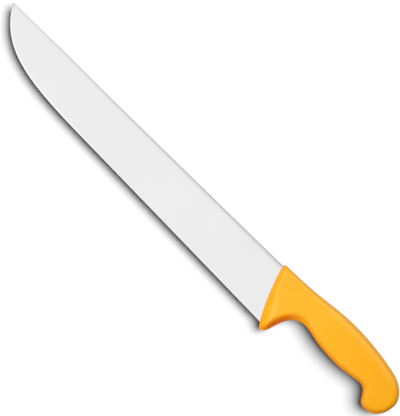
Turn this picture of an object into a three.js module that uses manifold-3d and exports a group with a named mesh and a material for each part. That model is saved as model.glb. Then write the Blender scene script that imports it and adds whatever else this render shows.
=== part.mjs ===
// A butcher's knife: a long ground steel blade with its tang hidden in a moulded plastic handle.
// Millimetres. The pieces are drawn with x running from the tip to the butt, y = 0 on the spine with
// the edge below it, and z = 0 on the middle plane of the steel. The finished knife lies on one cheek.

import * as THREE from 'three';
import Module from 'manifold-3d';
import { LoftGeometry } from 'three/addons/geometries/LoftGeometry.js';
import { mergeVertices } from 'three/addons/utils/BufferGeometryUtils.js';

const wasm = await Module();
wasm.setup();

const { degToRad, lerp, smoothstep } = THREE.MathUtils;

// Gap between the steel and the plastic that is moulded round it.
const mouldGap = 0.3;

// Blade outline. The edge runs straight from the heel, then sweeps up to the tip in one belly curve.
const spineLength = 319.4;
const heelDepth = 48.4;
const edgeAngle = degToRad(1.77);
const bellyLength = 121.5;
const bellyPull = 67;
const tipPull = 39.4;
const tipAngle = degToRad(59.7);
const tipNose = 1.5;

// Blade section: flat sides that close towards the edge, a sharpened bevel and a broken spine corner.
const spineThickness = 3;
const tipThickness = 1.4;
const edgeThickness = 0.5;
const bevelWidth = 1.2;
const spineChamfer = 0.3;
const tipBevelShare = 0.6;

// Heel and tang, both inside the handle. The steel keeps one thickness over a short run to the handle.
const parallelRun = 12;
const heelInset = 5;
const tangLap = 3;
const tangDrop = 4;
const tangRootDepth = 24;
const tangRootRun = 6;
const tangSetback = 4;
const recessWall = 6.5;
const tangHoles = 3;
const tangHoleDiameter = 6.5;
const holeInset = 21;

// Handle underside. Each waypoint has its run along the handle from the waypoint before, its depth
// below the spine, and how far the outline keeps level before and after it.
const guardDrop = 4.6;
const guardTip = { run: 24, depth: heelDepth + guardDrop, before: 5.2, after: 8.6 };
const fingerRecess = { run: 26.3, depth: 23.7, before: 21.9, after: 7.9 };
const palmBelly = { run: 42.6, depth: 28.9, before: 28.9, after: 6.5 };
const throat = { run: 22.9, depth: 26.1, before: 2.5, after: 11.2 };
const beak = { run: 18.4, depth: 39.3, before: 9.8, after: 10.6 };
const butt = { run: 17.1, depth: 19.5, below: 10.9, above: 8.1 };

// Handle back, from its front corner over the crest to the shoulder above the beak.
const frontRise = 1.6;
const frontPull = 50.4;
const crest = { beforeBelly: 13.4, rise: 5.9, before: 28.5, after: 23.3 };
const shoulder = { beforeBeak: 1.4, depth: 0.7, before: 6.3, after: 10.3, fall: degToRad(15.1) };

// Front edge of the handle, which leans back over the blade towards the guard.
const frontLean = degToRad(82.5);
const frontLeanPull = 14.2;

// Handle thickness, and how its faces round off.
const guardThickness = 20;
const palmThickness = 22;
const buttThickness = 20.6;
const palmStartAfterRecess = 30;
const palmEndBeforeThroat = 8;
const frontLip = 1.7;
const frontBevelSlope = 1;
const creaseRound = 2.4;
const frontEdgeRound = 2.6;
const gripEdgeRound = 8;
const edgeRoundRun = 30;

// How finely the curves are divided.
const bellySteps = 24;
const holeSteps = 8;
const ringSteps = 20;
const outlineSteps = 48;
const undersideSteps = [16, 11, 8, 11, 12];

const steel = new THREE.MeshStandardMaterial({ color: 0xd9dadb, roughness: 0.32, metalness: 1 });
const yellowPlastic = new THREE.MeshStandardMaterial({ color: 0xfcb52b, roughness: 0.42, metalness: 0 });

function place(x, y) {
  return new THREE.Vector2(x, y);
}

// A curve between two points that leaves and arrives in given directions, each kept for its pull.
function sweep(from, leaveAngle, leavePull, to, arriveAngle, arrivePull) {
  const leave = place(Math.cos(leaveAngle), Math.sin(leaveAngle)).multiplyScalar(leavePull);
  const arrive = place(Math.cos(arriveAngle), Math.sin(arriveAngle)).multiplyScalar(arrivePull);
  return new THREE.CubicBezierCurve(from, from.clone().add(leave), to.clone().sub(arrive), to);
}

// The point where a curve reaches a value of x or y that rises or falls steadily along it.
function pointWhere(curve, axis, value) {
  const rising = curve.v3[axis] > curve.v0[axis];
  let low = 0;
  let high = 1;
  for (let i = 0; i < 50; i++) {
    const middle = (low + high) / 2;
    const short = curve.getPoint(middle)[axis] < value === rising;
    low = short ? middle : low;
    high = short ? high : middle;
  }
  return curve.getPoint(low);
}

// Distance from a point to a chain of straight steps.
const stepLine = new THREE.Line3();
const nearest = new THREE.Vector3();
function distanceTo(chain, point) {
  const spot = new THREE.Vector3(point.x, point.y, 0);
  let least = Infinity;
  for (let i = 1; i < chain.length; i++) {
    stepLine.start.set(chain[i - 1].x, chain[i - 1].y, 0);
    stepLine.end.set(chain[i].x, chain[i].y, 0);
    stepLine.closestPointToPoint(spot, true, nearest);
    least = Math.min(least, nearest.distanceTo(spot));
  }
  return least;
}

// A quarter ellipse: 0 at the outline, 1 where the rounding ends.
function quarterRound(distance, run) {
  const left = 1 - Math.min(distance / run, 1);
  return Math.sqrt(1 - left * left);
}

// The lower of two heights, with the crease between them rounded off.
function softLower(a, b, round) {
  const meeting = Math.max(round - Math.abs(a - b), 0) / round;
  return Math.min(a, b) - (meeting * meeting * round) / 4;
}

function solidFrom(geometry) {
  const bare = new THREE.BufferGeometry();
  bare.setAttribute('position', geometry.attributes.position);
  bare.setIndex(geometry.index);
  const merged = mergeVertices(bare);
  const corners = merged.index.array;
  const triVerts = [];
  for (let i = 0; i < corners.length; i += 3) {
    const [a, b, c] = corners.subarray(i, i + 3);
    if (a !== b && b !== c && c !== a) triVerts.push(a, b, c);
  }
  const vertProperties = new Float32Array(merged.attributes.position.array);
  return new wasm.Manifold(new wasm.Mesh({ numProp: 3, vertProperties, triVerts: new Uint32Array(triVerts) }));
}

function meshFrom(solid, material, name) {
  const { vertProperties, triVerts } = solid.getMesh();
  const geometry = new THREE.BufferGeometry();
  geometry.setAttribute('position', new THREE.BufferAttribute(vertProperties, 3));
  geometry.setIndex(new THREE.BufferAttribute(triVerts, 1));
  geometry.computeVertexNormals();
  const mesh = new THREE.Mesh(geometry, material);
  mesh.name = name;
  return mesh;
}

// Handle outline
const handleFront = place(spineLength, frontRise);
const guardPoint = place(handleFront.x + guardTip.run, -guardTip.depth);
const recessPoint = place(guardPoint.x + fingerRecess.run, -fingerRecess.depth);
const bellyPoint = place(recessPoint.x + palmBelly.run, -palmBelly.depth);
const throatPoint = place(bellyPoint.x + throat.run, -throat.depth);
const beakPoint = place(throatPoint.x + beak.run, -beak.depth);
const buttPoint = place(beakPoint.x + butt.run, -butt.depth);
const crestPoint = place(bellyPoint.x - crest.beforeBelly, crest.rise);
const shoulderPoint = place(beakPoint.x - shoulder.beforeBeak, -shoulder.depth);

const down = -Math.PI / 2;
const up = Math.PI / 2;
const frontEdge = sweep(handleFront, -frontLean, frontLeanPull, guardPoint, 0, guardTip.before);
const underside = [
  sweep(guardPoint, 0, guardTip.after, recessPoint, 0, fingerRecess.before),
  sweep(recessPoint, 0, fingerRecess.after, bellyPoint, 0, palmBelly.before),
  sweep(bellyPoint, 0, palmBelly.after, throatPoint, 0, throat.before),
  sweep(throatPoint, 0, throat.after, beakPoint, 0, beak.before),
  sweep(beakPoint, 0, beak.after, buttPoint, up, butt.below),
];
const back = [
  sweep(handleFront, 0, frontPull, crestPoint, 0, crest.before),
  sweep(crestPoint, 0, crest.after, shoulderPoint, -shoulder.fall, shoulder.before),
  sweep(shoulderPoint, -shoulder.fall, shoulder.after, buttPoint, down, butt.above),
];
const frontChain = frontEdge.getPoints(outlineSteps);
const undersideChain = underside.flatMap((curve) => curve.getPoints(outlineSteps));
const backChain = back.flatMap((curve) => curve.getPoints(outlineSteps));

// Blade outline, with the heel line a little way inside the handle's front edge
const edgeEntry = pointWhere(frontEdge, 'y', -heelDepth);
const spineEntry = pointWhere(frontEdge, 'y', 0);
const heelSpineX = spineEntry.x + heelInset;
const heelEdgeX = edgeEntry.x + heelInset;
const edgeSlope = Math.tan(edgeAngle);

function straightEdgeDepth(x) {
  return heelDepth + (x - edgeEntry.x) * edgeSlope;
}

function heelX(depth) {
  return lerp(heelSpineX, heelEdgeX, depth / straightEdgeDepth(heelEdgeX));
}

const tipPoint = place(0, -tipNose);
const bellyEnd = place(bellyLength, -straightEdgeDepth(bellyLength));
const belly = sweep(tipPoint, -tipAngle, tipPull, bellyEnd, -edgeAngle, bellyPull);

// Half the steel's thickness: a plane along the straight edge, thinning towards the tip past the belly
const sideSlope = (spineThickness - edgeThickness) / 2 / (heelDepth - bevelWidth);

function planeHalf(x, depth) {
  return edgeThickness / 2 + sideSlope * (straightEdgeDepth(x) - bevelWidth - depth);
}

function bellySpineHalf(x) {
  const towardsTip = 1 - x / bellyLength;
  return lerp(planeHalf(bellyLength, 0), tipThickness / 2, towardsTip * towardsTip);
}

// One ring round the blade, from the spine down one side to the edge and up the other side.
function bladeRing(spineX, edgeX, depth, bevelDepth, halfAt) {
  const stationAt = (d) => lerp(spineX, edgeX, d / depth);
  const corner = (d, half) => new THREE.Vector3(stationAt(d), -d, half);
  const shoulderHalf = halfAt(stationAt(spineChamfer), spineChamfer);
  const bevelTop = depth - bevelDepth;
  const bevelHalf = halfAt(stationAt(bevelTop), bevelTop);
  return [
    corner(0, shoulderHalf - spineChamfer),
    corner(spineChamfer, shoulderHalf),
    corner(bevelTop, bevelHalf),
    corner(depth, 0),
    corner(bevelTop, -bevelHalf),
    corner(spineChamfer, -shoulderHalf),
    corner(0, spineChamfer - shoulderHalf),
  ];
}

function groundBlade() {
  const rings = [];
  for (let i = 0; i < bellySteps; i++) {
    const edge = belly.getPoint(i / bellySteps);
    const depth = -edge.y;
    const alongX = belly.getTangent(i / bellySteps).x;
    const bevelDepth = Math.min(bevelWidth / alongX, depth * tipBevelShare);
    const spineHalf = bellySpineHalf(edge.x);
    const halfAt = (x, d) => lerp(spineHalf, edgeThickness / 2, d / (depth - bevelDepth));
    rings.push(bladeRing(edge.x, edge.x, depth, bevelDepth, halfAt));
  }
  rings.push(bladeRing(bellyLength, bellyLength, -bellyEnd.y, bevelWidth, planeHalf));
  const heelRun = heelInset + parallelRun;
  const flatEndX = heelEdgeX - heelRun;
  const parallelHalf = (x, d) => planeHalf(x - heelRun, d);
  rings.push(bladeRing(heelSpineX - heelRun, flatEndX, straightEdgeDepth(flatEndX), bevelWidth, planeHalf));
  rings.push(bladeRing(heelSpineX, heelEdgeX, straightEdgeDepth(heelEdgeX), bevelWidth, parallelHalf));
  return solidFrom(new LoftGeometry(rings, { capStart: true, capEnd: true }));
}

// The tang, grown on every side by the given amount.
function tang(grow) {
  const top = grow - tangDrop;
  const gripDepth = fingerRecess.depth - recessWall;
  const bottom = -gripDepth - grow;
  const rootBottom = -tangRootDepth - grow;
  const endRadius = (top - bottom) / 2;
  const endX = throatPoint.x - tangSetback + grow - endRadius;
  const lap = tangLap + grow;
  const outline = new THREE.Shape();
  outline.moveTo(heelX(tangDrop) - lap, top);
  outline.lineTo(heelX(tangRootDepth) - lap, rootBottom);
  outline.lineTo(heelX(tangRootDepth) + tangRootRun, rootBottom);
  outline.quadraticCurveTo(lerp(heelX(tangRootDepth), recessPoint.x, 0.5), bottom, recessPoint.x, bottom);
  outline.lineTo(endX, bottom);
  outline.absarc(endX, (top + bottom) / 2, endRadius, down, up, false);
  const firstHole = heelX(tangDrop) + holeInset;
  const lastHole = throatPoint.x - tangSetback - holeInset;
  for (let i = 0; i < tangHoles; i++) {
    const hole = new THREE.Path();
    const holeX = lerp(firstHole, lastHole, i / (tangHoles - 1));
    hole.absarc(holeX, -(tangDrop + gripDepth) / 2, tangHoleDiameter / 2 - grow, 0, 2 * Math.PI, true);
    outline.holes.push(hole);
  }
  const depth = spineThickness + 2 * grow;
  const plate = new THREE.ExtrudeGeometry(outline, { depth, bevelEnabled: false, curveSegments: holeSteps });
  plate.translate(0, 0, -depth / 2);
  return solidFrom(plate);
}

// The slot that the blade's heel fills: the same flat sides moved out by the gap, open at the front.
function heelSlot() {
  const depth = straightEdgeDepth(heelEdgeX) + mouldGap;
  const ringAt = (shift) => {
    const corner = (d, side) => {
      const x = heelX(d) + shift;
      const half = Math.max(planeHalf(x, d), edgeThickness / 2) + mouldGap;
      return new THREE.Vector3(x, -d, side * half);
    };
    return [corner(-mouldGap, 1), corner(depth, 1), corner(depth, -1), corner(-mouldGap, -1)];
  };
  return solidFrom(new LoftGeometry([ringAt(-2 * heelInset), ringAt(mouldGap)], { capStart: true, capEnd: true }));
}

// Half the handle's thickness along its length, before its edges are rounded
const palmStartX = recessPoint.x + palmStartAfterRecess;
const palmEndX = throatPoint.x - palmEndBeforeThroat;

function cheekHalf(x) {
  const swell = smoothstep(x, handleFront.x, palmStartX);
  const fall = smoothstep(x, palmEndX, buttPoint.x);
  return lerp(lerp(guardThickness, palmThickness, swell), buttThickness, fall) / 2;
}

function handleHalf(point) {
  const fromFront = distanceTo(frontChain, point);
  const fromOutline = Math.min(distanceTo(backChain, point), distanceTo(undersideChain, point));
  const lipHalf = spineThickness / 2 + frontLip;
  const cheek = softLower(lipHalf + fromFront * frontBevelSlope, cheekHalf(point.x), creaseRound);
  const edgeRound = lerp(frontEdgeRound, gripEdgeRound, smoothstep(fromFront, 0, edgeRoundRun));
  return cheek * quarterRound(fromOutline, edgeRound);
}

// One ring round the handle, from the back down one cheek to the underside and up the other cheek.
function handleRing(across, halfAt) {
  const nearSide = [];
  const farSide = [];
  for (let i = 0; i <= ringSteps; i++) {
    const point = across((1 - Math.cos((Math.PI * i) / ringSteps)) / 2);
    if (i === 0 || i === ringSteps) {
      nearSide.push(new THREE.Vector3(point.x, point.y, 0));
      continue;
    }
    const half = halfAt(point);
    nearSide.push(new THREE.Vector3(point.x, point.y, half));
    farSide.unshift(new THREE.Vector3(point.x, point.y, -half));
  }
  return [...nearSide, ...farSide];
}

// Lines across the handle: the curved front edge first, fanning out to upright lines past the recess.
// A flat ring on the front edge comes before them, and closes the front face.
function handleBody() {
  const rings = [handleRing((t) => frontEdge.getPoint(t), () => 0)];
  const backAt = (x) => {
    const curve = back.find((piece) => x < piece.v3.x);
    return curve ? pointWhere(curve, 'x', x) : buttPoint;
  };
  underside.forEach((curve, stretch) => {
    const steps = undersideSteps[stretch];
    for (let i = stretch === 0 ? 0 : 1; i <= steps; i++) {
      const bottom = curve.getPoint(i / steps);
      const fan = stretch === 0 ? i / steps : 1;
      const top = backAt(fan < 1 ? lerp(handleFront.x, recessPoint.x, fan) : bottom.x);
      const across = (t) => {
        const straight = top.clone().lerp(bottom, t);
        const bow = frontEdge.getPoint(t).sub(handleFront.clone().lerp(guardPoint, t));
        return straight.addScaledVector(bow, (1 - fan) * (1 - fan));
      };
      rings.push(handleRing(across, handleHalf));
    }
  });
  return solidFrom(new LoftGeometry(rings));
}

const blade = groundBlade().add(tang(0));
const handle = handleBody().subtract(heelSlot()).subtract(tang(mouldGap));

const knife = new THREE.Group();
knife.add(meshFrom(blade, steel, 'blade'));
knife.add(meshFrom(handle, yellowPlastic, 'handle'));
knife.position.set(-buttPoint.x / 2, (guardTip.depth - crest.rise) / 2, palmThickness / 2);

export default knife;
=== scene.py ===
# Butcher knife: a ground steel blade in a moulded yellow handle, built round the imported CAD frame.
# Sizes in the dictionaries are millimetres: x runs from the tip to the butt, y = 0 is the spine with the
# edge below it, z = 0 is the middle plane of the steel. Meshes are in metres, in the frame's own axes.
import math

import bmesh
import bpy
import numpy as np
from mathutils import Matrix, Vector


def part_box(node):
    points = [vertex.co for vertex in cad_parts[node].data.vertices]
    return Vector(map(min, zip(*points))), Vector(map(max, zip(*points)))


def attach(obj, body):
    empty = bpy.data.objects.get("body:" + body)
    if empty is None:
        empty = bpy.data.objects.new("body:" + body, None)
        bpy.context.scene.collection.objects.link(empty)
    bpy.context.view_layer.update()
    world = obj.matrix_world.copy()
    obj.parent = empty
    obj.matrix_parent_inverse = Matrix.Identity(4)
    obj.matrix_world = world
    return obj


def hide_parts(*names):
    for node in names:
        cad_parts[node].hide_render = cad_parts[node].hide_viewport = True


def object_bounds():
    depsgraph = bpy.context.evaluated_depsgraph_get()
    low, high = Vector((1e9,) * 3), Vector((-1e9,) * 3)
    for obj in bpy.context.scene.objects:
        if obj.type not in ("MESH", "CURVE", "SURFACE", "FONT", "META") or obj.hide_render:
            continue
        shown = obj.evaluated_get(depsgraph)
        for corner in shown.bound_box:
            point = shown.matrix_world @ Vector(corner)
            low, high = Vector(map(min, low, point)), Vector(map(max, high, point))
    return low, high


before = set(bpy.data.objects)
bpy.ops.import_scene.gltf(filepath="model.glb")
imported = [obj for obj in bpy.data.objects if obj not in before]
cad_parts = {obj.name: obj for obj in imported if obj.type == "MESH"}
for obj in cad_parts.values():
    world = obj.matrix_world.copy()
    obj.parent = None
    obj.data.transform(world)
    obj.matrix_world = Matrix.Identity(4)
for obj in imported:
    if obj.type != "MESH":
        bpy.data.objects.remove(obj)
cadLow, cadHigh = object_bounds()
drawingOrigin = np.array([cadLow.x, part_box("blade")[1].y, (cadLow.z + cadHigh.z) / 2])
print("frame loaded, box", [round(1000 * side, 1) for side in cadHigh - cadLow], "mm")


# curves

tiny = 1e-9  # stands in for a length of zero where something is divided by it


def sweep(start, leaveAngle, leavePull, end, arriveAngle, arrivePull):
    # control points of a cubic curve: it leaves start along one angle and reaches end along another, and
    # the longer a pull is, the longer the curve keeps that direction
    start, end = np.array(start, float), np.array(end, float)
    leave = leavePull * np.array([math.cos(leaveAngle), math.sin(leaveAngle)])
    arrive = arrivePull * np.array([math.cos(arriveAngle), math.sin(arriveAngle)])
    return np.array([start, start + leave, end - arrive, end])


def along(curve, t):
    # point of a cubic curve: the control points weighted by (1-t)^3, 3(1-t)^2 t, 3(1-t) t^2 and t^3
    t = np.asarray(t, float)[..., None]
    rest = 1 - t
    return rest**3 * curve[0] + 3 * rest**2 * t * curve[1] + 3 * rest * t**2 * curve[2] + t**3 * curve[3]


def slope(curve, t):
    # derivative of a cubic curve: its three steps weighted by 3(1-t)^2, 6(1-t)t and 3t^2
    t = np.asarray(t, float)[..., None]
    step = np.diff(curve, axis=0)
    return 3 * (1 - t)**2 * step[0] + 6 * (1 - t) * t * step[1] + 3 * t**2 * step[2]


def restOf(curve, run, steps=400):
    # the part of a cubic curve that lies further than run from its start, as a cubic curve of its own: the
    # cut is looked up in the first half, and both ends keep their slopes, scaled to what is left
    firstHalf = np.linspace(0, 0.5, steps)
    cut = np.interp(run, np.linalg.norm(along(curve, firstHalf) - curve[0], axis=-1), firstHalf)
    third = (1 - cut) / 3
    first, last = along(curve, cut), curve[3]
    return np.array([first, first + third * slope(curve, cut), last - third * slope(curve, 1.0), last])


def chain(curves, steps=160):
    # points of several curves, one curve after the other
    return np.concatenate([along(curve, np.linspace(0, 1, steps)) for curve in curves])


def xWhereY(curve, y, steps=2000):
    # x at which a curve that only rises or only falls reaches a height, read between its points
    line = chain([curve], steps)
    order = np.argsort(line[:, 1])
    return np.interp(y, line[order, 1], line[order, 0])


def distanceTo(line, points):
    # shortest distance to a chain of straight steps: project on every step, stop at its ends, keep the
    # least; one row of the grid at a time, so that the arrays stay small
    step = np.diff(line, axis=0)
    lengthSquared = np.maximum((step**2).sum(-1), tiny)
    least = np.empty(points.shape[:-1])
    for row, spots in enumerate(points):
        away = spots[:, None, :] - line[:-1]
        share = np.clip((away * step).sum(-1) / lengthSquared, 0, 1)
        least[row] = np.sqrt(((away - share[..., None] * step)**2).sum(-1)).min(1)
    return least


def smooth(value, low, high):
    # 0 below low, 1 above high, 3s^2 - 2s^3 between
    share = np.clip((value - low) / (high - low), 0, 1)
    return share * share * (3 - 2 * share)


def mix(first, second, share):
    # first at share 0, second at share 1, and in a straight line between
    return first + (second - first) * share


def quarterRound(distance, run, power=2):
    # sqrt(1 - (1 - distance / run)^power), 0 at the outline and 1 where the rounding ends: a quarter
    # ellipse, or with power 3 one that eases into the flat
    return np.sqrt(1 - (1 - np.clip(distance / run, 0, 1))**power)


def softLower(first, second, size):
    # lower of two heights, with the crease between them rounded by m^2 size / 4, where m falls from 1 at
    # the crease to 0 where the heights are size apart
    meeting = np.maximum(size - np.abs(first - second), 0) / size
    return np.minimum(first, second) - meeting**2 * size / 4


# meshes

weldGap = 2e-7  # metres; points nearer than this are one point


def bothWays(rows):
    # each row, then its way back without the two ends that both ways share
    return np.concatenate([rows, rows[:, -2:0:-1]], 1)


def bothSides(flat, half):
    # each row goes out at plus half over its flat points and comes back at minus half
    upper = np.concatenate([flat, half[..., None]], -1)
    lower = np.concatenate([flat, -half[..., None]], -1)
    return np.concatenate([upper, lower[:, -2:0:-1]], 1)


def ringMesh(name, surface, marks):
    # surface is rows x ring x 3 in millimetres: quads join each row to the next and the ring closes on
    # itself; rows that fold flat close the ends; each mark is one number for each point
    rows, ring = surface.shape[:2]
    index = np.arange(rows * ring).reshape(rows, ring)
    here, there = index[:-1], index[1:]
    quads = np.stack([here, np.roll(here, -1, 1), np.roll(there, -1, 1), there], -1).reshape(-1, 4)
    mesh = bpy.data.meshes.new(name)
    mesh.from_pydata(surface.reshape(-1, 3) / 1000 + drawingOrigin, [], quads)
    for mark, values in marks.items():
        attribute = mesh.attributes.new(mark, "FLOAT", "POINT")
        attribute.data.foreach_set("value", values.ravel().astype(np.float32))
    weld(mesh)
    return mesh


def weld(mesh):
    # joins the doubled points where a row folds flat, and turns all faces outwards
    shell = bmesh.new()
    shell.from_mesh(mesh)
    bmesh.ops.remove_doubles(shell, verts=shell.verts, dist=weldGap)
    bmesh.ops.dissolve_degenerate(shell, edges=shell.edges, dist=weldGap)
    bmesh.ops.recalc_face_normals(shell, faces=shell.faces)
    shell.to_mesh(mesh)
    shell.free()
    mesh.shade_smooth()


def sharpenAlong(mesh, mark):
    # an edge stays crisp where both its ends carry the mark in full
    marked = np.zeros(len(mesh.vertices), np.float32)
    mesh.attributes[mark].data.foreach_get("value", marked)
    ends = np.zeros(2 * len(mesh.edges), np.int32)
    mesh.edges.foreach_get("vertices", ends)
    crisp = (marked[ends.reshape(-1, 2)] == 1).all(1)
    mesh.attributes.new("sharp_edge", "BOOLEAN", "EDGE").data.foreach_set("value", crisp)


def addPiece(name, mesh, node, material):
    piece = bpy.data.objects.new(name, mesh)
    bpy.context.scene.collection.objects.link(piece)
    piece.data.materials.append(material)
    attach(piece, "root")
    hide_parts(node)
    piece.visible_diffuse = False  # neither piece tints the other
    print(name, "has", len(mesh.polygons), "faces")
    return piece


# shading

class Wire:
    # one socket of a node tree; + - and * with wires or numbers add Math nodes
    def __init__(self, tree, socket=None):
        self.tree = tree
        self.socket = socket

    def node(self, kind, settings, sockets, output=0):
        # any node: its settings first, then the values or links of its sockets; gives back one output
        made = self.tree.nodes.new(kind)
        for name, value in settings.items():
            setattr(made, name, value)
        for name, value in sockets.items():
            if isinstance(value, Wire):
                self.tree.links.new(value.socket, made.inputs[name])
            else:
                made.inputs[name].default_value = value
        return Wire(self.tree, made.outputs[output] if made.outputs else None)

    def maths(self, operation, first, second):
        return self.node("ShaderNodeMath", {"operation": operation}, {0: first, 1: second})

    def __add__(self, other):
        return self.maths("ADD", self, other)

    def __sub__(self, other):
        return self.maths("SUBTRACT", self, other)

    def __rsub__(self, other):
        return self.maths("SUBTRACT", other, self)

    def __mul__(self, other):
        return self.maths("MULTIPLY", self, other)

    __radd__ = __add__
    __rmul__ = __mul__

    def step(self, low, high):
        # smooth step from 0 at low to 1 at high
        limits = {"Value": self, "From Min": low, "From Max": high}
        return self.node("ShaderNodeMapRange", {"interpolation_type": "SMOOTHSTEP"}, limits)

    def blend(self, first, second):
        # first colour at 0, second at 1; inputs 6 and 7 and output 2 are the Mix node's colour sockets
        return self.node("ShaderNodeMix", {"data_type": "RGBA"}, {0: self, 6: first, 7: second}, 2)


def newMaterial(name):
    material = bpy.data.materials.new(name)
    material.use_nodes = True
    material.node_tree.nodes.clear()
    return material, Wire(material.node_tree)


def noise(graph, place, size, stretch=(1, 1, 1), detail=2):
    # cloudy value round 0.5 whose blotches are about size millimetres, drawn out by stretch
    scale = tuple(1000 / (size * side) for side in stretch)
    spot = graph.node("ShaderNodeMapping", {}, {"Vector": place, "Scale": scale})
    return graph.node("ShaderNodeTexNoise", {}, {"Vector": spot, "Scale": 1.0, "Detail": detail}, "Fac")


def meshMark(graph, name):
    # a mark that ringMesh gave the points, as one value
    return graph.node("ShaderNodeAttribute", {"attribute_name": name}, {}, "Fac")


# handle

handle = {
    # outline: the stops of its curves, and the directions that aren't level or upright
    "front": (319.4, 1.6), "guard": (343.4, -53.0), "recess": (369.7, -23.7), "belly": (412.3, -28.9),
    "throat": (435.2, -26.1), "beak": (453.6, -39.3), "butt": (470.7, -19.5),
    "crest": (398.9, 5.9), "shoulder": (452.2, -0.7),
    "frontLean": math.radians(82.5), "shoulderFall": math.radians(15.1),
    # pulls of the curves that arrive at a stop and leave it
    "frontLeanPull": 14.2, "frontPull": 50.4, "guardPulls": (5.2, 8.6), "recessPulls": (21.9, 7.9),
    "bellyPulls": (28.9, 6.5), "throatPulls": (2.5, 11.2), "beakPulls": (9.8, 10.6),
    "buttPulls": (10.9, 8.1), "crestPulls": (28.5, 23.3), "shoulderPulls": (6.3, 10.3),
    # front corner: how far it is cut back along its two edges, and how far the bridge reaches into it
    "cornerRuns": (3.6, 3.0), "cornerReach": 0.55,
    # thickness
    "cornerThick": 14.0, "guardThick": 21.5, "palmThick": 22.0, "buttThick": 20.6,
    "palmStart": 399.7, "palmEnd": 427.2,
    # front bevel, from the lip on the steel up to a rounded crease; it widens between two depths
    "lipHalf": 2.6, "lipRound": 1.3, "bevelTop": 2.5, "bevelGuard": 5.8, "bevelWiden": (18.0, 32.0),
    "creaseRound": 8.0,
    # how far the rounding of the outline runs in, and the stretches over which that changes
    "frontRound": 4.0, "backRound": 5.0, "crestRound": 10.5, "palmRound": 5.0, "buttRound": 7.5,
    "frontRun": 34.0, "crestRise": (345.0, 390.0), "buttTurn": (446.0, 466.0), "sideTurn": 8.0,
    "roundPower": 3,
    # scooped wall behind the guard
    "scoopSteep": 2.5, "scoopNose": 0.8, "scoopRound": 10.0,
    "scoopEnd": (358.0, 378.0), "scoopReach": (11.0, 16.0),
    # the low part of that wall is marked for a deeper colour, painted shade in the hollow behind the guard
    "hollowShadeStart": (4.0, 9.0), "hollowShadeEnd": (350.0, 360.0), "hollowShadeDrop": (-1.0, 0.15),
    # parting line of the mould
    "partingHeight": 0.08, "partingHalf": 0.3,
    # grid: lines along each curve of the underside, points on a line, and how much these crowd to its ends
    "lines": (110, 60, 40, 50, 60), "linePoints": 73, "lineCrowd": 0.8,
}


def handleOutline():
    # three chains of cubic curves: the front edge; the underside, level at every stop from guard to beak;
    # and the back, from the front corner over the crest to the butt, where both meet upright
    h = handle
    down, up = -math.pi / 2, math.pi / 2
    front = sweep(h["front"], -h["frontLean"], h["frontLeanPull"], h["guard"], 0, h["guardPulls"][0])
    stops = ("guard", "recess", "belly", "throat", "beak")
    underside = [
        sweep(h[here], 0, h[here + "Pulls"][1], h[there], 0, h[there + "Pulls"][0])
        for here, there in zip(stops, stops[1:])]
    underside.append(sweep(h["beak"], 0, h["beakPulls"][1], h["butt"], up, h["buttPulls"][0]))
    back = [
        sweep(h["front"], 0, h["frontPull"], h["crest"], 0, h["crestPulls"][0]),
        sweep(h["crest"], 0, h["crestPulls"][1], h["shoulder"], -h["shoulderFall"], h["shoulderPulls"][0]),
        sweep(h["shoulder"], -h["shoulderFall"], h["shoulderPulls"][1], h["butt"], down, h["buttPulls"][1]),
    ]
    # the front corner is cut back along both its edges and bridged by a curve that keeps their directions
    corner = front[0]
    front, back[0] = restOf(front, h["cornerRuns"][0]), restOf(back[0], h["cornerRuns"][1])
    low, high = front[0], back[0][0]
    lowPull, highPull = (mix(end, corner, h["cornerReach"]) for end in (low, high))
    back.insert(0, np.array([low, lowPull, highPull, high]))
    return front, underside, back


def handleSkeleton(front, underside, back):
    # lines across the handle from back to underside, as flat points and the way out along each line. Up to
    # the recess they fan out from the curved front edge: a line at share s lies s^2 along the back and the
    # underside, and keeps (1 - s^2)^2 of the bow of the front edge. Past the recess they are upright.
    # A point at share s of a line lies at (1 - cos(pi w)) / 2, where w is s less a share of sin(2 pi s)
    h = handle
    backLine = chain(back)
    backRun = np.append(0, np.cumsum(np.linalg.norm(np.diff(backLine, axis=0), axis=-1)))
    overRecess = np.interp(h["recess"][0], backLine[:, 0], backRun)
    fan = np.linspace(0, 1, h["lines"][0])**2
    fanBottom = along(underside[0], fan)
    uprightBottom = np.concatenate([
        along(curve, np.linspace(0, 1, lines)[1:]) for curve, lines in zip(underside[1:], h["lines"][1:])])
    uprightRun = np.interp(uprightBottom[:, 0], backLine[:, 0], backRun)
    run = np.concatenate([overRecess * fan, uprightRun])
    bow = np.concatenate([(1 - fan)**2, 0 * uprightRun])
    top = np.stack([np.interp(run, backRun, backLine[:, axis]) for axis in (0, 1)], -1)
    bottom = np.concatenate([fanBottom, uprightBottom])
    share = np.linspace(0, 1, h["linePoints"])
    warped = share - h["lineCrowd"] * np.sin(2 * math.pi * share) / (2 * math.pi)
    t = (1 - np.cos(math.pi * warped)) / 2
    frontBow = along(front, t) - mix(front[0], front[3], t[:, None])
    flat = mix(top[:, None], bottom[:, None], t[:, None]) + bow[:, None, None] * frontBow
    outward = (top - bottom) / np.maximum(np.linalg.norm(top - bottom, axis=-1, keepdims=True), tiny)
    return flat, outward[:, None] * np.sign(0.5 - t)[:, None]


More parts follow.
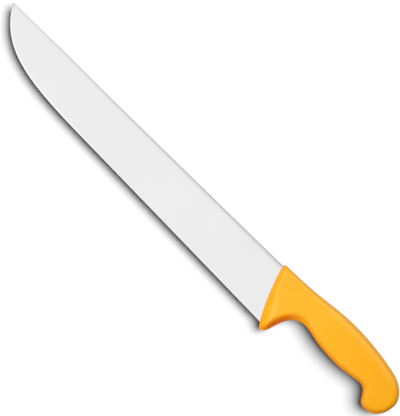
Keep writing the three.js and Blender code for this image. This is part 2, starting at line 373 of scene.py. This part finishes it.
def handleCheek(flat, fromFront):
    # half thickness away from the outline: it swells smoothly from the front to the palm and falls to the
    # butt, and in front a bevel rises to it in a straight line from the lip, more gently at the guard
    h = handle
    x, depth = flat[..., 0], -flat[..., 1]
    frontThick = mix(h["cornerThick"], h["guardThick"], smooth(depth, 0, -h["guard"][1]))
    swell = smooth(x, h["front"][0], h["palmStart"])
    fall = smooth(x, h["palmEnd"], h["butt"][0])
    cheek = mix(mix(frontThick, h["palmThick"], swell), h["buttThick"], fall) / 2
    bevelRun = mix(h["bevelTop"], h["bevelGuard"], smooth(depth, *h["bevelWiden"]))
    bevel = h["lipHalf"] + (cheek - h["lipHalf"]) * fromFront / bevelRun
    return softLower(bevel, cheek, h["creaseRound"])


def handleRounding(x, fromFront, fromBack, fromUnder):
    # how far the rounding runs in from the outline: least at the front, most at the crest, with smooth steps
    # along x, from side to side and away from the front
    h = handle
    backRound = mix(h["backRound"], h["crestRound"], smooth(x, *h["crestRise"]))
    gripRound = mix(h["palmRound"], backRound, smooth(fromUnder - fromBack, -h["sideTurn"], h["sideTurn"]))
    gripRound = mix(gripRound, h["buttRound"], smooth(x, *h["buttTurn"]))
    return mix(h["frontRound"], gripRound, smooth(fromFront, 0, h["frontRun"]))


def handleSurface():
    # half thickness over the skeleton: the cheek x the rounding of its outline, or behind the guard a
    # scooped wall, steep x sqrt(d (d + nose)) at a distance d from the underside, that runs into the cheek;
    # then x the rounding of the lip
    h = handle
    front, underside, back = handleOutline()
    flat, outward = handleSkeleton(front, underside, back)
    x = flat[..., 0]
    fromFront, fromBack, fromUnder = (distanceTo(chain(edge), flat) for edge in ([front], back, underside))
    fromOutline = np.minimum(fromBack, fromUnder)
    cheek = handleCheek(flat, fromFront)
    edgeRound = handleRounding(x, fromFront, fromBack, fromUnder)
    rounded = cheek * quarterRound(fromOutline, edgeRound, h["roundPower"])
    wall = h["scoopSteep"] * np.sqrt(fromUnder * (fromUnder + h["scoopNose"]))
    scooped = softLower(wall, cheek, h["scoopRound"])
    scoopShare = (1 - smooth(x, *h["scoopEnd"])) * (1 - smooth(fromUnder, *h["scoopReach"]))
    half = mix(rounded, scooped, scoopShare) * quarterRound(fromFront, h["lipRound"])
    half[:, [0, -1]] = 0
    half[[0, -1]] = 0
    # the parting line stands proud on the middle plane, and the rest of the outline steps in by its height
    proud = np.clip(1 - (half / h["partingHalf"])**2, 0, 1)**2
    near = 1 - smooth(fromOutline, 0, edgeRound)
    stepped = flat + outward * (h["partingHeight"] * (proud - 1) * near)[..., None]
    # the painted shade of the hollow lies where that wall is low against the cheek, a little way behind the
    # front
    hollowShade = smooth(fromFront, *h["hollowShadeStart"]) * (1 - smooth(x, *h["hollowShadeEnd"]))
    hollowShade = hollowShade * smooth(1 - wall / cheek, *h["hollowShadeDrop"])
    return bothSides(stepped, half), {"hollowShade": bothWays(hollowShade)}


plastic = {
    # the front and butt colours are a little deeper than the grip's, which paints in shade where the light
    # falls off along the handle
    "frontColour": (1.0, 0.412, 0.004, 1), "gripColour": (1.0, 0.440, 0.004, 1),
    "buttColour": (1.0, 0.432, 0.001, 1), "hollowShadeColour": (0.98, 0.245, 0.001, 1),
    "gripStart": (325.0, 372.0), "gripEnd": (400.0, 470.0),
    "cloudSize": 24.0, "cloudStretch": (2.0, 1, 1), "cloudDepth": 0.06,
    "rough": 0.37, "rubSize": 9.0, "rubSwing": 0.08,
    "grainSize": 0.45, "grainSwing": 0.06, "grainDepth": 0.010, "grainStrength": 0.5,
    "subsurface": 0.25, "subsurfaceDepth": 0.002, "subsurfaceRadius": (1.0, 0.35, 0.05), "ior": 1.43,
}


def yellowPlastic():
    # satin polypropylene with faint clouds: lightest at the grip, a little deeper towards the front and the
    # butt, which is painted shade where the light falls off along the handle, and deepest in the hollow
    # behind the guard, which is painted shade; rubbed patches in the roughness, and a fine moulded grain in
    # roughness and bump
    material, graph = newMaterial("yellow_polypropylene")
    place = graph.node("ShaderNodeTexCoord", {}, {}, "Object")
    x = graph.node("ShaderNodeSeparateXYZ", {}, {"Vector": place}, "X")
    start, end = (np.array(plastic[key]) / 1000 + drawingOrigin[0] for key in ("gripStart", "gripEnd"))
    cloud = noise(graph, place, plastic["cloudSize"], plastic["cloudStretch"], detail=3)
    cloud = (cloud - 0.5) * plastic["cloudDepth"]
    # deeper towards the front and the butt: painted shade along the handle's length
    colour = (x.step(*start) + cloud).blend(plastic["frontColour"], plastic["gripColour"])
    colour = (x.step(*end) + cloud).blend(colour, plastic["buttColour"])
    # the hollow's deeper colour is painted shade behind the guard
    colour = meshMark(graph, "hollowShade").blend(colour, plastic["hollowShadeColour"])
    grain = noise(graph, place, plastic["grainSize"], detail=1)
    rub = noise(graph, place, plastic["rubSize"], detail=3)
    rough = plastic["rough"] + (rub - 0.5) * plastic["rubSwing"] + (grain - 0.5) * plastic["grainSwing"]
    bump = graph.node("ShaderNodeBump", {}, {
        "Strength": plastic["grainStrength"], "Distance": plastic["grainDepth"] / 1000, "Height": grain})
    surface = graph.node("ShaderNodeBsdfPrincipled", {"subsurface_method": "RANDOM_WALK"}, {
        "Base Color": colour, "Roughness": rough, "IOR": plastic["ior"], "Normal": bump,
        "Subsurface Weight": plastic["subsurface"], "Subsurface Scale": plastic["subsurfaceDepth"],
        "Subsurface Radius": plastic["subsurfaceRadius"]})
    graph.node("ShaderNodeOutputMaterial", {}, {"Surface": surface})
    return material


# blade

blade = {
    # outline: the belly runs from the tip to a straight edge that deepens a little towards the heel
    "heelDepth": 48.4, "edgeAngle": math.radians(1.77), "bellyLength": 121.5, "bellyPull": 67.0,
    "tipPull": 39.4, "tipAngle": math.radians(59.7), "tipNose": 1.5, "tipRound": 0.8,
    "spineSag": 0.65, "spineSagRun": (55.0, 140.0),
    # section: the spine's corners grow from tip to belly, and in front of the handle the sides level out
    "spineThick": 3.0, "tipThick": 1.4, "edgeThick": 0.5, "bevelWidth": 1.2, "tipBevelShare": 0.6,
    "spineRounds": (0.45, 0.9), "mostRound": 0.4, "spineFlatShare": 0.3, "heelInset": 5.0, "evenRun": 12.0,
    # finishes and painted light: where the painted highlight on the honed edge ends, and the darker finishes
    # that fade down from the spine, which also paint in shade along it; bands and shares are pairs, at the
    # tip and at the heel
    "edgeHighlightEnd": (60.0, 170.0), "rolledShadeEnd": (0.4, 1.5), "rolledShadeShares": (0.1, 0.75),
    "millShadeBands": (2.6, 5.2), "millShadeShares": (0.25, 1.0), "paintedShadeReach": 18.0, "paintedShadeShare": 0.08,
    # grid: rows along the blade, which crowd towards the tip, and points down one side
    "bellyRows": 140, "bellyCrowd": 1.6, "straightRows": 60, "heelRows": 6,
    "spinePoints": 4, "roundPoints": 14, "sidePoints": 30, "bevelPoints": 5,
}


def bladeStations(front):
    # rows from tip to heel, as x on the spine, x on the edge, depth of the edge, depth of the bevel and
    # half thickness at the spine. On the belly a row is upright, and the spine thins by the squared way to
    # the tip. Behind it the rows turn to the slant of the handle's front and each side is one plane, up to
    # the last stretch, which stays as thick as it starts
    b = blade
    edgeEntry, spineEntry = xWhereY(front, -b["heelDepth"]), xWhereY(front, 0.0)
    sideSlope = (b["spineThick"] - b["edgeThick"]) / 2 / (b["heelDepth"] - b["bevelWidth"])

    def straightDepth(x):
        return b["heelDepth"] + (x - edgeEntry) * math.tan(b["edgeAngle"])

    def planeHalf(x):
        return b["edgeThick"] / 2 + sideSlope * (straightDepth(x) - b["bevelWidth"])

    tip = (0.0, -b["tipNose"])
    bellyEnd = (b["bellyLength"], -straightDepth(b["bellyLength"]))
    belly = sweep(tip, -b["tipAngle"], b["tipPull"], bellyEnd, -b["edgeAngle"], b["bellyPull"])
    t = np.linspace(0, 1, b["bellyRows"])[:-1]**b["bellyCrowd"]
    way = slope(belly, t)
    level = way[:, 0] / np.linalg.norm(way, axis=-1)
    bellyX, bellyDepth = along(belly, t)[:, 0], -along(belly, t)[:, 1]
    bellyBevel = np.minimum(b["bevelWidth"] / level, bellyDepth * b["tipBevelShare"])
    toTip = (1 - bellyX / b["bellyLength"])**2
    bellyHalf = mix(planeHalf(b["bellyLength"]), b["tipThick"] / 2, toTip)

    planeShare = np.append(np.linspace(0, 1, b["straightRows"]), np.ones(b["heelRows"] - 1))
    evenShare = np.append(np.zeros(b["straightRows"]), np.linspace(0, 1, b["heelRows"])[1:])
    even = (b["evenRun"] + b["heelInset"]) * evenShare
    spinePlane = mix(b["bellyLength"], spineEntry - b["evenRun"], planeShare)
    edgePlane = mix(b["bellyLength"], edgeEntry - b["evenRun"], planeShare)
    depth = straightDepth(edgePlane + even)
    rows = [
        (bellyX, spinePlane + even), (bellyX, edgePlane + even), (bellyDepth, depth),
        (bellyBevel, np.full_like(depth, b["bevelWidth"])), (bellyHalf, planeHalf(spinePlane)),
    ]
    return [np.concatenate(parts)[:, None] for parts in rows]


def bladeMarks(x, down):
    # one number for each point of a side: 1 on the honed bevel, 1 on its upper rim, the painted highlight on
    # the honed edge, and two darker finishes that fade smoothly down from the spine and grow in a straight
    # line from tip to heel, which also paint in the shade along the spine: a narrow rolled one, and a milled
    # one or the wide faint painted shade below it, whichever is more
    b = blade
    toHeel = np.clip(x / x[-1, -1], 0, 1)
    edge, shoulder = np.zeros(down.shape), np.zeros(down.shape)
    edge[:, -b["bevelPoints"]:] = 1
    shoulder[:, -b["bevelPoints"]] = 1
    # darker finishes near the spine, part finish and part painted shade along the spine; the wide faint band
    # is painted shade alone
    rolledShade = (1 - smooth(down, *b["rolledShadeEnd"])) * mix(*b["rolledShadeShares"], toHeel)
    millShade = (1 - smooth(down, 0, mix(*b["millShadeBands"], toHeel))) * mix(*b["millShadeShares"], toHeel)
    paintedShade = (1 - smooth(down, 0, b["paintedShadeReach"])) * b["paintedShadeShare"] * toHeel
    return {
        "edge": edge, "shoulder": shoulder, "edgeHighlight": 1 - smooth(x, *b["edgeHighlightEnd"]),
        "rolledShade": rolledShade, "millShade": np.maximum(millShade, paintedShade),
    }


def bladeSurface(front):
    # each row goes down one side and up the other: half the spine's flat, its rounded corner as a quarter
    # ellipse, the side straight to the bevel, then the bevel down to the edge; all x a quarter ellipse that
    # closes the tip
    b = blade
    spineX, edgeX, depth, bevel, spineHalf = bladeStations(front)
    bevelTop, bevelHalf = depth - bevel, np.full_like(depth, b["edgeThick"] / 2)
    flatHalf = b["spineFlatShare"] * spineHalf
    cornerDepth = mix(*b["spineRounds"], smooth(spineX, 0, b["bellyLength"]))
    cornerDepth = np.minimum(cornerDepth, b["mostRound"] * bevelTop)
    spine = np.linspace(0, 1, b["spinePoints"])[:-1]
    corner = np.linspace(0, math.pi / 2, b["roundPoints"])
    side = np.linspace(0, 1, b["sidePoints"])[1:]
    hone = np.linspace(0, 1, b["bevelPoints"])[1:]

    def sideHalf(down):
        return mix(spineHalf, bevelHalf, down / bevelTop)

    cornerDown = cornerDepth * (1 - np.cos(corner))
    cornerHalf = flatHalf + (sideHalf(cornerDown) - flatHalf) * np.sin(corner)
    sideDown = mix(cornerDepth, bevelTop, side)
    honeDown = bevelTop + bevel * hone
    down = np.concatenate([0 * depth * spine, cornerDown, sideDown, honeDown], 1)
    half = np.concatenate([flatHalf * spine, cornerHalf, sideHalf(sideDown), bevelHalf * (1 - hone)], 1)
    x = mix(spineX, edgeX, down / depth)
    half = half * quarterRound(x, b["tipRound"])
    sag = b["spineSag"] * smooth(x, *b["spineSagRun"]) * (1 - down / depth)
    surface = bothSides(np.stack([x, -down - sag], -1), half)
    # one more row, folded flat on the middle plane and without marks, closes the heel
    heel = surface[-1:] * np.array([1, 1, 0])
    rings = {name: bothWays(values) for name, values in bladeMarks(x, down).items()}
    rings = {name: np.concatenate([ring, 0 * ring[-1:]]) for name, ring in rings.items()}
    return np.concatenate([surface, heel]), rings


steel = {
    "colour": (0.865, 0.865, 0.868, 1), "dullColour": (0.845, 0.845, 0.848, 1),
    "millShadeColour": (0.64, 0.64, 0.65, 1), "rolledShadeColour": (0.56, 0.56, 0.57, 1),
    "bellyEdgeHighlightColour": (0.98, 0.98, 0.98, 1), "straightEdgeColour": (0.86, 0.86, 0.86, 1),
    "cloudSize": 30.0, "cloudStretch": (1, 1.6, 1), "cloudStep": (0.3, 0.7), "edgeStep": (0.4, 0.6),
    "rough": 0.22, "roughSwing": 0.05, "edgeRough": 0.18,
    "lineSize": 0.35, "lineStretch": (1, 60.0, 60.0), "lineDepth": 0.002, "lineStrength": 0.4,
}


def groundSteel():
    # satin ground stainless: fine grind lines across the blade in roughness and bump, faint polishing clouds
    # in the colour, darker milled and rolled finishes towards the spine that also paint in the shade along
    # it, and a honed edge with a painted highlight on the belly
    material, graph = newMaterial("ground_steel")
    place = graph.node("ShaderNodeTexCoord", {}, {}, "Object")
    edge = meshMark(graph, "edge").step(*steel["edgeStep"])
    lines = noise(graph, place, steel["lineSize"], steel["lineStretch"], detail=3)
    cloud = noise(graph, place, steel["cloudSize"], steel["cloudStretch"]).step(*steel["cloudStep"])
    satin = cloud.blend(steel["colour"], steel["dullColour"])
    # the milled and rolled finishes also paint in shade along the spine
    satin = meshMark(graph, "millShade").blend(satin, steel["millShadeColour"])
    satin = meshMark(graph, "rolledShade").blend(satin, steel["rolledShadeColour"])
    # the honed edge is lighter on the belly: a painted highlight
    honed = meshMark(graph, "edgeHighlight").blend(steel["straightEdgeColour"], steel["bellyEdgeHighlightColour"])
    rough = steel["rough"] + (lines - 0.5) * steel["roughSwing"]
    bump = graph.node("ShaderNodeBump", {}, {
        "Strength": steel["lineStrength"], "Distance": steel["lineDepth"] / 1000, "Height": lines})
    surface = graph.node("ShaderNodeBsdfPrincipled", {}, {
        "Base Color": edge.blend(satin, honed),
        "Roughness": rough * (1 - edge) + edge * steel["edgeRough"],
        "Metallic": 1.0, "Normal": bump})
    graph.node("ShaderNodeOutputMaterial", {}, {"Surface": surface})
    return material


frontEdge = handleOutline()[0]
bladeMesh = ringMesh("ground_blade", *bladeSurface(frontEdge))
sharpenAlong(bladeMesh, "shoulder")
bladePiece = addPiece("ground_blade", bladeMesh, "blade", groundSteel())

handleMesh = ringMesh("moulded_handle", *handleSurface())
handlePiece = addPiece("moulded_handle", handleMesh, "handle", yellowPlastic())


# studio, in metres

studio = {
    # suns: the way to them, how wide they are in degrees, and their share of a full exposure
    "floorSun": {"from": (0.228, 0.396, 1.0), "spread": 42.0, "share": 1.0},
    "tentSun": {"from": (-0.05, 0.03, 1.0), "spread": 165.0, "share": 0.13},
    "keySun": {"from": (-0.18, 0.77, 0.61), "spread": 80.0, "share": 0.38},
    # panels near the knife: their middles, the way they face, their sides, and their brightness
    "handleBox": {"at": (-0.19, -0.075, 0.45), "faces": (0, 0, -1), "size": (0.62, 0.69), "glow": 0.77},
    "bladeBox": {"at": (-0.10, -0.075, 0.45), "faces": (0, 0, -1), "size": (0.80, 0.69), "glow": 0.78},
    "creaseBox": {"at": (-0.23, -0.36, 0.44), "faces": (0, 0, -1), "size": (0.34, 0.74), "glow": 2.8},
    "palmBox": {"at": (0.20, -0.30, 0.44), "faces": (0, 0, -1), "size": (0.40, 0.22), "glow": 2.0},
    "rimBox": {"at": (0.15, 0.55, 0.25), "faces": (0, -0.55, -0.24), "size": (0.90, 0.50), "glow": 1.6},
    # panels further out, which the steel mirrors when it is seen from a side
    "edgeSideBox": {"at": (0, -1.41, 0.75), "faces": (0, 1.41, -0.75), "size": (5.0, 1.25), "glow": 0.5},
    "spineSideBox": {"at": (0, 1.30, 1.10), "faces": (0, -1.30, -1.10), "size": (5.0, 0.70), "glow": 0.5},
    "tipEndBox": {"at": (-1.41, 0, 0.75), "faces": (1.41, 0, -0.75), "size": (1.8, 1.25), "glow": 0.3},
    "buttEndBox": {"at": (1.41, 0, 0.75), "faces": (-1.41, 0, -0.75), "size": (1.8, 1.25), "glow": 0.3},
    # sky for matt surfaces: a low fill, and from below a warm bounce that fades towards the spine's side
    "skyShare": 0.06, "belowShare": 1.8, "belowColour": (1.0, 0.40, 0.06, 1),
    "belowEdge": (-0.05, 0.05), "belowFade": (-0.4, 0.6),
    # sky for reflections: a room that darkens towards the floor, and a pale backdrop on the spine's side
    "room": 0.22, "roomLow": 0.06, "roomEdge": (-0.05, 0.3),
    "backdrop": 0.55, "backdropSide": (0.3, 0.7), "backdropTop": (0.25, 0.5),
    "floorSize": 12.0, "floorColour": (0.96, 0.96, 0.96, 1),
}


def paleFloor():
    # one square under the knife; it takes the shadow, but neither tints the knife nor shows in it
    material, graph = newMaterial("pale_floor")
    matt = graph.node("ShaderNodeBsdfDiffuse", {}, {"Color": studio["floorColour"]})
    graph.node("ShaderNodeOutputMaterial", {}, {"Surface": matt})
    half = studio["floorSize"] / 2
    corners = [(x * half, y * half, cadLow.z) for x, y in ((-1, -1), (1, -1), (1, 1), (-1, 1))]
    mesh = bpy.data.meshes.new("floor")
    mesh.from_pydata(corners, [], [(0, 1, 2, 3)])
    floor = bpy.data.objects.new("floor", mesh)
    floor.data.materials.append(material)
    bpy.context.scene.collection.objects.link(floor)
    floor.visible_diffuse = False
    floor.visible_glossy = False
    return floor


def studioSky():
    # white where it is seen directly; matt surfaces and reflections each get their own sky, worked out by
    # smooth steps from the y and z of the way a ray goes
    world = bpy.data.worlds.new("studio")
    world.use_nodes = True
    world.node_tree.nodes.clear()
    bpy.context.scene.world = world
    graph = Wire(world.node_tree)
    way = graph.node("ShaderNodeTexCoord", {}, {}, "Generated")
    y, z = (graph.node("ShaderNodeSeparateXYZ", {}, {"Vector": way}, axis) for axis in "YZ")
    seen, through, mirror = (
        graph.node("ShaderNodeLightPath", {}, {}, ray)
        for ray in ("Is Camera Ray", "Is Transmission Ray", "Is Glossy Ray"))
    high = z.step(*studio["roomEdge"])
    backdrop = y.step(*studio["backdropSide"]) * (1 - z.step(*studio["backdropTop"]))
    shown = studio["roomLow"] + (studio["room"] - studio["roomLow"]) * high + studio["backdrop"] * backdrop
    matt = 1 - seen - through - mirror
    below = matt * (1 - z.step(*studio["belowEdge"])) * (1 - y.step(*studio["belowFade"]))
    fill = studio["skyShare"] * matt + (studio["belowShare"] - studio["skyShare"]) * below
    light = graph.node("ShaderNodeBackground", {}, {
        "Color": below.blend((1, 1, 1, 1), studio["belowColour"]),
        "Strength": seen + through + mirror * shown + fill})
    graph.node("ShaderNodeOutputWorld", {}, {"Surface": light})


def groupOf(name, members):
    group = bpy.data.collections.new(name)
    for member in members:
        group.objects.link(member)
    return group


def addLamp(name, lamp, lit, blocks):
    # lights the given objects only, and where blocks are given, only these shade it
    shining = bpy.data.objects.new(name, lamp)
    bpy.context.scene.collection.objects.link(shining)
    shining.light_linking.receiver_collection = groupOf(name + "_lights", lit)
    if blocks:
        shining.light_linking.blocker_collection = groupOf(name + "_blocks", blocks)
    return shining


def softSun(name, lit):
    # a broad sun that isn't mirrored; its strength is share x pi / the cosine of its slant, so that share 1
    # is a full exposure on a level surface
    sun = studio[name]
    way = Vector(sun["from"]).normalized()
    lamp = bpy.data.lights.new(name, "SUN")
    lamp.angle = math.radians(sun["spread"])
    lamp.energy = sun["share"] * math.pi / way.z
    shining = addLamp(name, lamp, lit, ())
    shining.rotation_euler = way.to_track_quat("Z", "Y").to_euler()
    shining.visible_glossy = False


def softPanel(name, lit, blocks=()):
    # a flat panel; its power is glow x pi x area, so that glow 1 is as bright as a white sheet
    panel = studio[name]
    lamp = bpy.data.lights.new(name, "AREA")
    lamp.shape = "RECTANGLE"
    lamp.size, lamp.size_y = panel["size"]
    lamp.energy = panel["glow"] * math.pi * lamp.size * lamp.size_y
    shining = addLamp(name, lamp, lit, blocks)
    shining.location = panel["at"]
    shining.rotation_euler = (-Vector(panel["faces"])).to_track_quat("Z", "Y").to_euler()
    shining.visible_camera = False
    return shining


camera = {
    "lookAt": (235.1, -14.5), "turn": math.radians(44.25), "span": 353.6, "lens": 200.0, "sensor": 36.0,
}


def photoCamera():
    # looks straight down from a height of span x lens / sensor, so that the picture's long side covers span
    # on the knife's middle plane
    lens = bpy.data.cameras.new("camera")
    lens.lens, lens.sensor_width = camera["lens"], camera["sensor"]
    eye = bpy.data.objects.new("camera", lens)
    rise = camera["span"] * camera["lens"] / camera["sensor"]
    eye.location = np.array([*camera["lookAt"], rise]) / 1000 + drawingOrigin
    eye.rotation_euler = (0, 0, camera["turn"])
    bpy.context.scene.collection.objects.link(eye)
    bpy.context.scene.camera = eye


floor = paleFloor()
studioSky()
softSun("floorSun", [floor])
softSun("tentSun", [bladePiece, handlePiece])
softSun("keySun", [bladePiece, handlePiece])
softPanel("handleBox", [handlePiece])
for panelName in ("bladeBox", "edgeSideBox", "spineSideBox", "tipEndBox", "buttEndBox"):
    softPanel(panelName, [bladePiece], [floor])
softPanel("creaseBox", [handlePiece])
softPanel("palmBox", [handlePiece])
softPanel("rimBox", [handlePiece]).visible_diffuse = False  # only mirrored
photoCamera()
bpy.context.scene.view_settings.view_transform = "Standard"
print("studio lit by", len(bpy.data.lights), "lamps")
